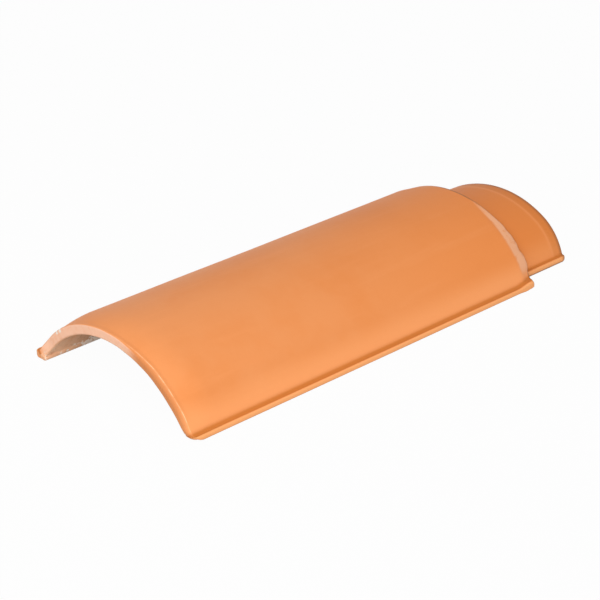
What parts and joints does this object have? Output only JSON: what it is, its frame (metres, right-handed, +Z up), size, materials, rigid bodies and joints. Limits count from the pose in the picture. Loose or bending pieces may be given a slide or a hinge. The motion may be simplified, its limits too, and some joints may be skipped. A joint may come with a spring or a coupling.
{
  "type": "clay roof tile",
  "caption": "Low barrel-arched clay roof tile on lipped feet, with a stepped-down spigot at its head that the tail of the next tile laps over.",
  "frame": {"origin": "middle of the tile's outline at floor level, under the crown", "axes": "+X along the tile from its tail to its spigot head, +Y across it, +Z up from the floor to the crown"},
  "size_m": [0.465, 0.2, 0.0615],
  "materials": {
    "fired_clay": "satin fired clay"
  },
  "bodies": {
    "root": {"tile": "fired_clay"}
  },
  "joints": []
}
